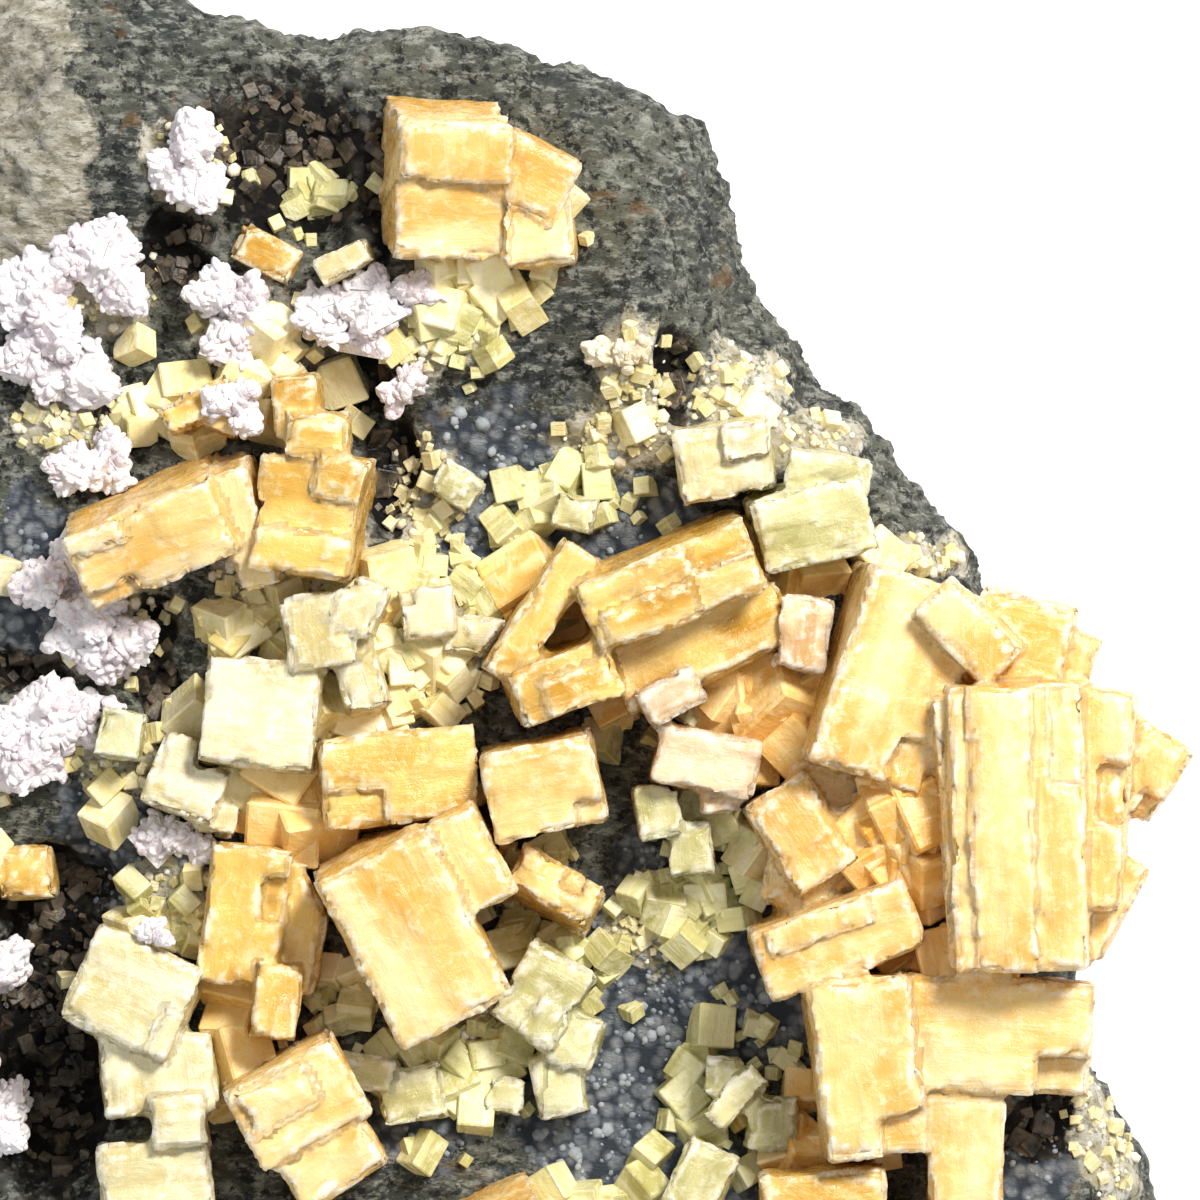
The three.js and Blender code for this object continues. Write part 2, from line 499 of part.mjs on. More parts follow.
const specimen = new THREE.Group();

const colourOf = (name) => (/pale|green|corner/.test(name) ? COLOURS.pale : COLOURS.honey);

function addPiece(name, solid, colour, roughness) {
  const material = new THREE.MeshStandardMaterial({ color: colour, roughness, metalness: 0, flatShading: true });
  const mesh = new THREE.Mesh(geometryOf(solid), material);
  mesh.name = name;
  specimen.add(mesh);
}

const rock = rockGeometry();
addPiece("matrix", solidOf(rock), COLOURS.rock, 0.9);

const raisedRock = solidOf(rock.clone().translate(0, 0, GAP));
let grown = null; // the fluorite so far, larger by the gap
for (const [name, crystals] of Object.entries(CRYSTAL_GROUPS)) {
  const makers = crystals.map(crystal);
  const solid = joined(makers.map((make) => make(0))).subtract(raisedRock);
  addPiece(name, largestBody(grown ? solid.subtract(grown) : solid), colourOf(name), 0.35);
  const room = joined(makers.map((make) => make(GAP)));
  grown = grown ? grown.add(room) : room;
}

const older = []; // the rosettes so far, larger by twice the gap
Object.entries(ROSETTES).forEach(([name, plan], k) => {
  let solid = rosette(plan, k + 1, 0).subtract(raisedRock).subtract(grown);
  for (const other of older) solid = solid.subtract(other);
  older.push(rosette(plan, k + 1, 2 * GAP));
  addPiece(name, largestBody(solid), COLOURS.barite, 0.8);
});

const bounds = new THREE.Box3().setFromObject(specimen);
const centre = bounds.getCenter(new THREE.Vector3());
specimen.position.set(-centre.x, -centre.y, -bounds.min.z);

export default specimen;
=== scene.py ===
import json
import math
import random

import bmesh
import bpy
import numpy as np
from mathutils import Matrix, Vector, kdtree, noise
from mathutils.bvhtree import BVHTree


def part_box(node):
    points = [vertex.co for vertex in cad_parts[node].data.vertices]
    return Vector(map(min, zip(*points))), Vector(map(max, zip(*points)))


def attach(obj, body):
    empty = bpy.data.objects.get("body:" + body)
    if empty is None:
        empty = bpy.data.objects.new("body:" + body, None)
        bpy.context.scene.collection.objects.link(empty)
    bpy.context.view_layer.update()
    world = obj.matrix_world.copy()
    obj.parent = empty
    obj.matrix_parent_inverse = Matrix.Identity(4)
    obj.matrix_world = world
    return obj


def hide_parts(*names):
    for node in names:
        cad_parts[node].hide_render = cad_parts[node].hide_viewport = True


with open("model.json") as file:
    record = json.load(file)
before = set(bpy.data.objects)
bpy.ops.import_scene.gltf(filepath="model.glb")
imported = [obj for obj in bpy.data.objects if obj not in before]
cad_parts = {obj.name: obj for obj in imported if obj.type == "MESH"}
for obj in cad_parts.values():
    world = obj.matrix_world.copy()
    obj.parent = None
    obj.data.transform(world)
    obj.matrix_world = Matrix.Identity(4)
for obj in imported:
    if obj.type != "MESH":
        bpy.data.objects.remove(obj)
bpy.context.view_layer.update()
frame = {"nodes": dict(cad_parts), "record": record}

# The rock. A loose piece of dark grey-green vein rock, broken off the wall of a vein: a rough rim, hollows
# lined with brown and black crust and darkened further to near black as painted shade, a blue-grey bobbly
# lining and pale crusts between the crystals, painted shade in its crevices, and a broken back that it lies on.
MM = 0.001
PLAN_UNIT = 0.09 * MM
PLAN_MIDDLE = Vector((11.06, 10.77, 0)) * MM
LOWEST_WORKED = 0.6 * MM


def in_plan(x, y, z=0.0):
    """The frame's place of a point of the plan, which has 1200 units to a side, x to the right and y down."""
    return PLAN_MIDDLE + Vector(((x - 600) * PLAN_UNIT, (600 - y) * PLAN_UNIT, z))


def plan_of(co):
    return (co.x - PLAN_MIDDLE.x) / PLAN_UNIT + 600, 600 - (co.y - PLAN_MIDDLE.y) / PLAN_UNIT


# Where each kind of surface lies on the rock: middle and reach of each patch, in plan units
ROCK_PATCHES = {
    "lining": [
        ((500, 470), (90, 75)), ((590, 520), (110, 70)), ((440, 560), (60, 40)), ((640, 1000), (90, 120)),
        ((730, 1010), (80, 70)), ((590, 1100), (90, 90)), ((640, 1180), (110, 60)), ((130, 850), (75, 85)),
        ((25, 570), (44, 80)), ((310, 755), (34, 36)), ((1035, 1160), (38, 56)), ((-60, 640), (60, 90)),
        ((520, 1400), (150, 60)), ((650, 880), (50, 50)), ((420, 1110), (60, 60)),
    ],
    "crust": [
        ((735, 385), (58, 44)), ((800, 440), (60, 30)), ((440, 330), (62, 44)), ((1095, 1120), (30, 54)),
        ((420, 500), (40, 70)), ((650, 925), (42, 50)), ((160, 885), (44, 28)), ((70, 425), (60, 44)),
        ((195, 160), (52, 46)), ((235, 330), (44, 60)), ((100, 280), (60, 50)), ((925, 555), (50, 20)),
        ((110, 610), (60, 70)), ((640, 370), (40, 52)), ((560, 600), (60, 40)), ((130, 760), (60, 40)),
        ((330, 600), (90, 70)), ((-60, 760), (80, 60)), ((-90, 440), (60, 60)), ((620, 440), (70, 34)),
        ((1120, 1170), (26, 40)), ((470, 620), (60, 50)), ((260, 560), (60, 40)), ((500, 1040), (50, 40)),
    ],
    "vein": [
        ((20, 40), (52, 90)), ((40, 150), (58, 90)), ((10, 240), (56, 60)), ((-50, 60), (70, 110)),
        ((-60, 260), (50, 80)), ((200, -10), (30, 14)),
    ],
    # The dark patches are the cavities: brown crust, darkened to near black there as painted shade.
    "dark": [
        ((285, 150), (98, 84)), ((175, 268), (40, 32)), ((376, 190), (20, 76)), ((130, 410), (42, 36)),
        ((50, 1040), (66, 165)), ((674, 378), (24, 52)), ((1040, 1127), (40, 36)), ((345, 380), (44, 36)),
        ((50, 890), (60, 40)), ((150, 650), (24, 60)), ((180, 230), (30, 30)), ((390, 470), (22, 60)),
        ((20, 670), (50, 26)), ((160, 700), (24, 40)),
    ],
}


def patch_strength(kind, x, y):
    """Half at the edge of a patch of that kind, one at its middle, and nought well away from it."""
    nearest = min(math.hypot((x - cx) / rx, (y - cy) / ry) for (cx, cy), (rx, ry) in ROCK_PATCHES[kind])
    return min(1.0, max(0.0, 1.0 - 0.5 * nearest))


def rock_relief(co, zones):
    """How far the rock's surface stands out at a point, in metres."""
    p = co / MM
    along = Vector((0.8 * p.x - 0.6 * p.y, 2.1 * (0.6 * p.x + 0.8 * p.y), p.z))
    blocks = 1.2 * (noise.ridged_multi_fractal(p / 10, 0.9, 2.2, 4, 1.0, 2.0) - 1.15)
    laminae = 0.75 * (noise.turbulence(along / 4.0, 3, True) - 0.4)
    grit = 0.3 * noise.fractal(p / 1.1, 0.6, 2.0, 3)
    distances = noise.voronoi(p / 1.9)[0]
    bobbles = 0.55 * (0.7 - distances[0])
    knobs = 0.8 * (0.5 - noise.voronoi(p / 3.2)[0][0]) + 0.3 * (0.5 - noise.voronoi(p / 1.1)[0][0])
    bare = blocks + laminae + grit
    relief = bare + (0.35 * blocks + bobbles - bare) * min(1, max(0, 3 * (zones["lining"] - 0.42)))
    relief += (0.3 * blocks + knobs + 0.5 - relief) * min(1, max(0, 3 * (zones["crust"] - 0.42)))
    relief += (1.5 * knobs - 2.4 - relief) * min(1, max(0, 3 * (zones["dark"] - 0.42)))
    return relief * MM


def evaluated(piece):
    """The piece's mesh with its modifiers in it."""
    return bpy.data.meshes.new_from_object(piece.evaluated_get(bpy.context.evaluated_depsgraph_get()))


def raise_surface(mesh, heights):
    """Moves each vertex out along its normal by its own height."""
    places = np.empty(3 * len(mesh.vertices))
    normals = np.empty(3 * len(mesh.vertices))
    mesh.vertices.foreach_get("co", places)
    mesh.vertex_normals.foreach_get("vector", normals)
    mesh.vertices.foreach_set("co", places + normals * np.repeat(heights, 3))
    mesh.update()


def hollows(mesh, rounds=2, gain=3.0):
    """For each vertex -1 on a sharp ridge, 1 in a sharp crevice and 0 where it is flat."""
    count = len(mesh.vertices)
    ends = np.empty(2 * len(mesh.edges), dtype=np.int64)
    places = np.empty(3 * count)
    normals = np.empty(3 * count)
    mesh.edges.foreach_get("vertices", ends)
    mesh.vertices.foreach_get("co", places)
    mesh.vertex_normals.foreach_get("vector", normals)
    a, b = ends[0::2], ends[1::2]
    near = np.bincount(a, minlength=count) + np.bincount(b, minlength=count)

    def around(values):
        return (np.bincount(a, values[b], count) + np.bincount(b, values[a], count)) / np.maximum(near, 1)

    axes = [places[k::3] for k in range(3)]
    bend = sum((around(axis) - axis) * normals[k::3] for k, axis in enumerate(axes))
    length = np.sqrt(sum((axis[a] - axis[b]) ** 2 for axis in axes)).mean()
    value = gain * bend / length
    for _ in range(rounds):
        value = 0.5 * value + 0.5 * around(value)
    mesh.attributes.new("hollow", "FLOAT", "POINT").data.foreach_set("value", np.clip(value, -1, 1))


def node_copy(*nodes):
    """A scratch object with the solids of these nodes in one mesh."""
    bm = bmesh.new()
    for node in nodes:
        bm.from_mesh(frame["nodes"][node].data)
    bmesh.ops.remove_doubles(bm, verts=bm.verts, dist=1e-6)
    mesh = bpy.data.meshes.new(nodes[0])
    bm.to_mesh(mesh)
    bm.free()
    made = bpy.data.objects.new(nodes[0], mesh)
    bpy.context.scene.collection.objects.link(made)
    return made


def work_rock():
    blank = node_copy("matrix")
    finer = blank.modifiers.new("finer", "SUBSURF")
    finer.levels = 3
    bm = bmesh.new()
    bm.from_mesh(evaluated(blank))
    bpy.data.objects.remove(blank)
    bm.normal_update()
    moves = []
    fields = []
    for v in bm.verts:
        x, y = plan_of(v.co)
        wander = 16 * noise.noise(v.co / (5 * MM)), 16 * noise.noise(v.co / (5 * MM) + Vector((9, 4, 2)))
        upward = min(1, max(0, v.normal.z * 3))
        zones = {k: patch_strength(k, x + wander[0], y + wander[1]) * upward for k in ROCK_PATCHES}
        fields.append([zones[k] for k in ("lining", "crust", "vein", "dark")])
        fade = min(1, max(0, (v.co.z - LOWEST_WORKED) / (2 * MM)))
        moves.append(v.normal * rock_relief(v.co, zones) * fade)
    for v, move in zip(bm.verts, moves):
        v.co += move
        v.co.z = max(v.co.z, 0)
    mesh = bpy.data.meshes.new("vein_rock")
    bm.to_mesh(mesh)
    bm.free()
    mesh.attributes.new("patches", "FLOAT_COLOR", "POINT").data.foreach_set("color", np.ravel(fields))
    # The hollow value drives the painted crevice shade in the rock's colour.
    hollows(mesh, 3, 4.0)
    return mesh


def new_piece(name, mesh, material, slot, *nodes, smooth=True):
    piece = bpy.data.objects.new(name, mesh)
    bpy.context.scene.collection.objects.link(piece)
    mesh.materials.clear()
    mesh.materials.append(material)
    mesh.shade_smooth() if smooth else mesh.shade_flat()
    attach(piece, "root")
    if nodes:
        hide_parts(*nodes)
    return piece


def value_group(name, sockets, output):
    """An empty shader node group with number or colour inputs and one output."""
    group = bpy.data.node_groups.new(name, "ShaderNodeTree")
    for label, kind, default in sockets:
        group.interface.new_socket(label, in_out="INPUT", socket_type=kind).default_value = default
    group.interface.new_socket(output[0], in_out="OUTPUT", socket_type=output[1])
    return group, group.nodes.new("NodeGroupInput"), group.nodes.new("NodeGroupOutput")


class Shade:
    """Short ways to add and join the nodes of one material or group."""

    def __init__(self, tree):
        self.tree = tree
        self.place = None

    def node(self, kind, **settings):
        made = self.tree.nodes.new(kind)
        for key, value in settings.items():
            setattr(made, key, value)
        return made

    def put(self, value, socket):
        if isinstance(value, bpy.types.NodeSocket):
            self.tree.links.new(value, socket)
        elif value is not None:
            socket.default_value = value

    def coords(self):
        if self.place is None:
            self.place = self.node("ShaderNodeTexCoord").outputs["Object"]
        return self.place

    def stretched(self, scale, turn=(0, 0, 0), source=None):
        made = self.node("ShaderNodeMapping")
        made.inputs["Scale"].default_value = scale
        made.inputs["Rotation"].default_value = turn
        self.put(source or self.coords(), made.inputs["Vector"])
        return made.outputs["Vector"]

    def noise(self, per_mm, detail=3, roughness=0.55, distortion=0.0, vector=None):
        made = self.node("ShaderNodeTexNoise")
        self.put(vector or self.coords(), made.inputs["Vector"])
        made.inputs["Scale"].default_value = per_mm / MM
        made.inputs["Detail"].default_value = detail
        made.inputs["Roughness"].default_value = roughness
        made.inputs["Distortion"].default_value = distortion
        return made.outputs["Fac"]

    def cells(self, per_mm, feature="F1", vector=None, randomness=1.0):
        made = self.node("ShaderNodeTexVoronoi", feature=feature)
        self.put(vector or self.coords(), made.inputs["Vector"])
        made.inputs["Scale"].default_value = per_mm / MM
        made.inputs["Randomness"].default_value = randomness
        return made.outputs["Distance"]

    def math(self, operation, a, b=None, clamp=False):
        made = self.node("ShaderNodeMath", operation=operation, use_clamp=clamp)
        self.put(a, made.inputs[0])
        self.put(b, made.inputs[1])
        return made.outputs[0]

    def span(self, value, low, high, to_low=0.0, to_high=1.0, smooth=True):
        made = self.node("ShaderNodeMapRange", interpolation_type="SMOOTHSTEP" if smooth else "LINEAR")
        self.put(value, made.inputs["Value"])
        made.inputs["From Min"].default_value = low
        made.inputs["From Max"].default_value = high
        made.inputs["To Min"].default_value = to_low
        made.inputs["To Max"].default_value = to_high
        return made.outputs["Result"]

    def mix(self, share, a, b, blend="MIX"):
        made = self.node("ShaderNodeMix", data_type="RGBA", blend_type=blend)
        self.put(share, made.inputs["Factor"])
        self.put(a, made.inputs["A"])
        self.put(b, made.inputs["B"])
        return made.outputs["Result"]

    def bump(self, height, depth_mm, strength=1.0):
        made = self.node("ShaderNodeBump")
        made.inputs["Strength"].default_value = strength
        made.inputs["Distance"].default_value = depth_mm * MM
        self.put(height, made.inputs["Height"])
        return made.outputs["Normal"]


def paint(red, green, blue):
    """A colour given as it looks on a screen, from 0 to 255."""
    linear = [(c / 255 / 12.92) if c <= 10 else ((c / 255 + 0.055) / 1.055) ** 2.4 for c in (red, green, blue)]
    return (*linear, 1.0)


def new_material(name, specular=0.5, ior=1.45):
    made = bpy.data.materials.new(name)
    made.use_nodes = True
    shader = made.node_tree.nodes["Principled BSDF"]
    shader.inputs["Specular IOR Level"].default_value = specular
    shader.inputs["IOR"].default_value = ior
    return made, Shade(made.node_tree), shader


def build_ragged_mask():
    """A patch's strength, 0 to 1, cut to a ragged edge by noise that grows from the edge."""
    group, given, result = value_group(
        "ragged edge",
        [("Strength", "NodeSocketFloat", 0.0), ("Raggedness", "NodeSocketFloat", 0.5)],
        ("Mask", "NodeSocketFloat"),
    )
    s = Shade(group)
    flakes = s.math("SUBTRACT", s.noise(0.55, 3, 0.65), 0.5)
    shifted = s.math("ADD", given.outputs["Strength"], s.math("MULTIPLY", flakes, given.outputs["Raggedness"]))
    s.put(s.span(shifted, 0.44, 0.56), result.inputs["Mask"])
    return group


ragged_mask = build_ragged_mask()


def ragged(s, strength, raggedness=0.8):
    made = s.node("ShaderNodeGroup", node_tree=ragged_mask)
    s.put(strength, made.inputs["Strength"])
    made.inputs["Raggedness"].default_value = raggedness
    return made.outputs["Mask"]


def rock_material():
    made, s, shader = new_material("vein rock", specular=0.3)
    patches = s.node("ShaderNodeAttribute", attribute_name="patches")
    split = s.node("ShaderNodeSeparateColor")
    s.put(patches.outputs["Color"], split.inputs["Color"])
    hollow = s.node("ShaderNodeAttribute", attribute_name="hollow").outputs["Fac"]
    laminae = s.stretched((1, 2.6, 1.4), (0, 0, math.radians(40)))
    broad = s.span(s.noise(0.09, 3), 0.3, 0.7)
    flecks = s.span(s.noise(0.45, 5, 0.75, vector=laminae), 0.46, 0.62)
    specks = s.span(s.cells(2.0), 0.0, 0.5)
    bare = s.mix(broad, paint(56, 61, 60), paint(112, 113, 98))
    bare = s.mix(s.math("MULTIPLY", flecks, 0.8), bare, paint(176, 177, 164))
    bare = s.mix(s.span(s.noise(0.8, 4, 0.75), 0.5, 0.6, 0, 0.9), bare, paint(26, 28, 29))
    bare = s.mix(s.math("MULTIPLY", s.math("SUBTRACT", 1.0, specks), 0.4), bare, paint(34, 35, 34))
    bare = s.mix(s.span(s.noise(0.16, 3, 0.7), 0.62, 0.7, 0, 0.6), bare, paint(126, 92, 52))
    lining = s.mix(s.span(s.noise(0.7, 4), 0.3, 0.7), paint(96, 104, 116), paint(164, 168, 170))
    lining = s.mix(s.span(s.cells(0.8), 0.3, 0.75), lining, paint(62, 70, 80))
    crust = s.mix(s.span(s.noise(0.5, 3), 0.35, 0.65), paint(190, 180, 148), paint(236, 230, 214))
    crust = s.mix(s.span(s.noise(0.9, 3, 0.7), 0.5, 0.65, 0, 0.85), crust, paint(118, 112, 84))
    vein_tones = paint(158, 150, 126), paint(224, 218, 202)
    vein = s.mix(s.span(s.noise(0.35, 3, 0.7, vector=laminae), 0.3, 0.7), *vein_tones)
    vein = s.mix(s.span(s.noise(0.6, 4, 0.75, vector=laminae), 0.5, 0.6, 0, 0.8), vein, paint(122, 116, 96))
    # Cavity colour: brown crust, with near black painted in as the cavities' shade.
    dark = s.mix(s.span(s.noise(0.6, 3, 0.6), 0.45, 0.75), paint(12, 11, 10), paint(72, 64, 54))
    colour = s.mix(ragged(s, split.outputs["Blue"]), bare, vein)
    colour = s.mix(ragged(s, split.outputs["Red"]), colour, lining)
    colour = s.mix(ragged(s, split.outputs["Green"]), colour, crust)
    # Painted shade: the cavity patches take the near-black cavity colour.
    colour = s.mix(ragged(s, patches.outputs["Alpha"]), colour, dark)
    # Painted shade: crevices are darkened to near black by the hollow value; sharp ridges are made paler.
    colour = s.mix(s.span(hollow, 0.1, 0.8, 0, 0.75), colour, paint(18, 18, 18))
    colour = s.mix(s.span(hollow, -0.15, -0.8, 0, 0.4), colour, paint(200, 200, 190))
    s.put(colour, shader.inputs["Base Color"])
    shader.inputs["Roughness"].default_value = 0.7
    rough = s.noise(1.3, 5, 0.75, vector=laminae)
    s.put(s.bump(rough, 0.8), shader.inputs["Normal"])
    return made


rock_mesh = work_rock()
rock = new_piece("vein_rock", rock_mesh, rock_material(), "rock", "matrix")
rock_surface = BVHTree.FromObject(rock, bpy.context.evaluated_depsgraph_get())

# Fluorite. Honey-yellow cubes grown into each other on the rock: cloudy, translucent crystals with flat faces
# that carry low growth steps, fine striations along the cube's edges and pale worn edges. Each piece keeps the
# solid's form, reaches a little into the rock and gets its steps and surface here.
ROOT = 2.6 * MM
ROOT_REACH = 3 * MM
SAME_PLANE = 0.4 * MM
STEP_FACE_AREA = 22 * MM * MM
STEP_HEIGHTS = (0.15 * MM, 0.4 * MM)
STEP_BED = 0.4 * MM
EDGE_SAMPLE = 0.3 * MM
SHARP_TURN = 0.35
DOWN = Vector((0, 0, -1))


def face_axes(bm):
    """For each triangle the flat face it belongs to, with that face's longest edge direction and extent."""
    bm.normal_update()
    key_of = {}
    faces = {}
    for f in bm.faces:
        n = f.normal
        level = round(n.dot(f.calc_center_median()) / SAME_PLANE)
        key = (round(n.x, 1), round(n.y, 1), round(n.z, 1), level)
        key_of[f.index] = key
        blank = {"n": n.copy(), "longest": 0, "u": Vector((1, 0, 0)), "area": 0, "points": []}
        entry = faces.setdefault(key, blank)
        entry["area"] += f.calc_area()
        entry["points"] += [v.co.copy() for v in f.verts]
    for edge in bm.edges:
        if len(edge.link_faces) == 2 and edge.calc_face_angle(0) > 0.2:
            line = edge.verts[1].co - edge.verts[0].co
            for f in edge.link_faces:
                entry = faces[key_of[f.index]]
                if line.length > entry["longest"]:
                    entry["longest"], entry["u"] = line.length, line.normalized()
    for number, entry in enumerate(faces.values()):
        entry["v"] = entry["n"].cross(entry["u"]).normalized()
        entry["seed"] = number * 3.71
    return key_of, faces


def solid_tree(*names):
    """A search tree over the triangles of some solids."""
    bm = bmesh.new()
    for name in names:
        bm.from_mesh(frame["nodes"][name].data)
    tree = BVHTree.FromBMesh(bm)
    bm.free()
    return tree


def sink_roots(bm, rock_below):
    """Lowers the undersides that rest on the rock, so that no crystal stands clear of it."""
    resting = {v for f in bm.faces if f.normal.z < -0.6 for v in f.verts}
    for v in resting:
        if rock_below.ray_cast(v.co - 0.5 * MM * DOWN, DOWN, ROOT_REACH)[0]:
            v.co.z -= ROOT


def add_box(bm, centre, axes, half):
    made = bmesh.ops.create_cube(bm, size=2.0)
    turn = Matrix((axes[0] * half[0], axes[1] * half[1], axes[2] * half[2])).transposed().to_4x4()
    bmesh.ops.transform(bm, matrix=Matrix.Translation(centre) @ turn, verts=made["verts"])


def add_growth_steps(bm, faces, surface, chance):
    """Low plates on the large upper faces, each anchored in a corner or along an edge of its face."""
    for entry in faces.values():
        if entry["n"].z < 0.35 or entry["area"] < STEP_FACE_AREA:
            continue
        us = [p.dot(entry["u"]) for p in entry["points"]]
        vs = [p.dot(entry["v"]) for p in entry["points"]]
        level = entry["points"][0].dot(entry["n"])
        size_u = (max(us) - min(us)) * chance.uniform(0.25, 0.8)
        size_v = (max(vs) - min(vs)) * chance.uniform(0.18, 0.55)
        u = chance.choice((min(us) + size_u / 2, max(us) - size_u / 2))
        v = chance.choice((min(vs) + size_v / 2, max(vs) - size_v / 2, chance.uniform(min(vs), max(vs))))
        rise = chance.uniform(*STEP_HEIGHTS)
        inner_u, inner_v = size_u * 0.46, size_v * 0.46
        corners = [
            entry["u"] * (u + a * inner_u) + entry["v"] * (v + b * inner_v) + entry["n"] * level
            for a in (-1, 0, 1) for b in (-1, 0, 1)
        ]
        if max(surface.find_nearest(c)[3] for c in corners) < 0.06 * MM:
            centre = entry["u"] * u + entry["v"] * v + entry["n"] * (level + rise / 2 - STEP_BED)
            half = (size_u * 0.495, size_v * 0.495, rise / 2 + STEP_BED)
            add_box(bm, centre, (entry["u"], entry["v"], entry["n"]), half)


def edge_finder(bm):
    """A finder of the nearest point of any sharp edge."""
    points = []
    for edge in bm.edges:
        if len(edge.link_faces) == 2 and edge.calc_face_angle(0) > SHARP_TURN:
            a, b = (v.co for v in edge.verts)
            count = max(1, int((b - a).length / EDGE_SAMPLE))
            points += [a.lerp(b, k / count) for k in range(count + 1)]
    finder = kdtree.KDTree(len(points))
    for k, point in enumerate(points):
        finder.insert(point, k)
    finder.balance()
    return finder


def crystal_relief(p, u, v, seed, from_edge):
    """How far a crystal's surface stands out at a point, in millimetres."""
    drift = 0.25 * noise.noise(p / 1.5)
    ledges = 0.1 * math.floor(3.0 * noise.noise(Vector((u / 8 + drift, v / 3 + drift, seed))) + 0.5)
    warp = 0.2 * noise.noise(p / 7)
    etch = 0.03 * noise.fractal(p / 1.2, 0.7, 2.0, 2)
    block = abs(noise.cell(Vector((u / 2.2 + drift, v / 2.2 + drift, seed))))
    notches = -0.45 * block * min(1, max(0, (2.0 * block - 0.9 - from_edge) / 0.3))
    chips = -1.3 * max(0.0, noise.noise(p / 2.6) - 0.15) * max(0.0, 1 - from_edge / 1.6)
    return ledges + warp + etch + notches + chips


def grown_crystal(node, voxel):
    """A node's crystals with roots, steps and worn faces, and the values that their stone's colour reads, among
    them the height and facing that paint its shade.
    """
    chance = random.Random(node)
    low_z, high_z = (corner.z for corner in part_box(node))
    bm = bmesh.new()
    bm.from_mesh(frame["nodes"][node].data)
    bmesh.ops.remove_doubles(bm, verts=bm.verts, dist=1e-6)
    bm.faces.ensure_lookup_table()
    sink_roots(bm, rock_solid)
    key_of, faces = face_axes(bm)
    surface = BVHTree.FromBMesh(bm)
    edges = edge_finder(bm)
    add_growth_steps(bm, faces, surface, chance)
    raw = bpy.data.objects.new(node + "_raw", bpy.data.meshes.new(node))
    bm.to_mesh(raw.data)
    bm.free()
    bpy.context.scene.collection.objects.link(raw)
    skin = raw.modifiers.new("skin", "REMESH")
    skin.mode = "VOXEL"
    skin.voxel_size = voxel
    mesh = evaluated(raw)
    bpy.data.objects.remove(raw)
    lies = []
    edge_near = []
    side_shades = []
    raised = []
    for co in [v.co.copy() for v in mesh.vertices]:
        entry = faces[key_of[surface.find_nearest(co)[2]]]
        u, w = co.dot(entry["u"]) / MM, co.dot(entry["v"]) / MM
        from_edge = edges.find(co)[2] / MM
        raised.append(crystal_relief(co / MM, u, w, entry["seed"], from_edge) * MM)
        lies += (u, w, entry["seed"])
        edge_near.append(math.exp(-from_edge / 0.4))
        # Painted shade: faces that do not face up are given the deeper tone.
        side_shades.append(1 - max(0.0, entry["n"].z))
    raise_surface(mesh, raised)
    hollows(mesh)
    # Painted shade: the rise value makes each crystal paler at the top and deeper in tone towards its foot.
    heights = np.array([v.co.z for v in mesh.vertices])
    rise = np.clip((heights - low_z) / (high_z - low_z), 0, 1)
    mesh.attributes.new("rise", "FLOAT", "POINT").data.foreach_set("value", rise)
    mesh.attributes.new("lie", "FLOAT_VECTOR", "POINT").data.foreach_set("vector", lies)
    mesh.attributes.new("edge", "FLOAT", "POINT").data.foreach_set("value", edge_near)
    mesh.attributes.new("side", "FLOAT", "POINT").data.foreach_set("value", side_shades)
    return mesh


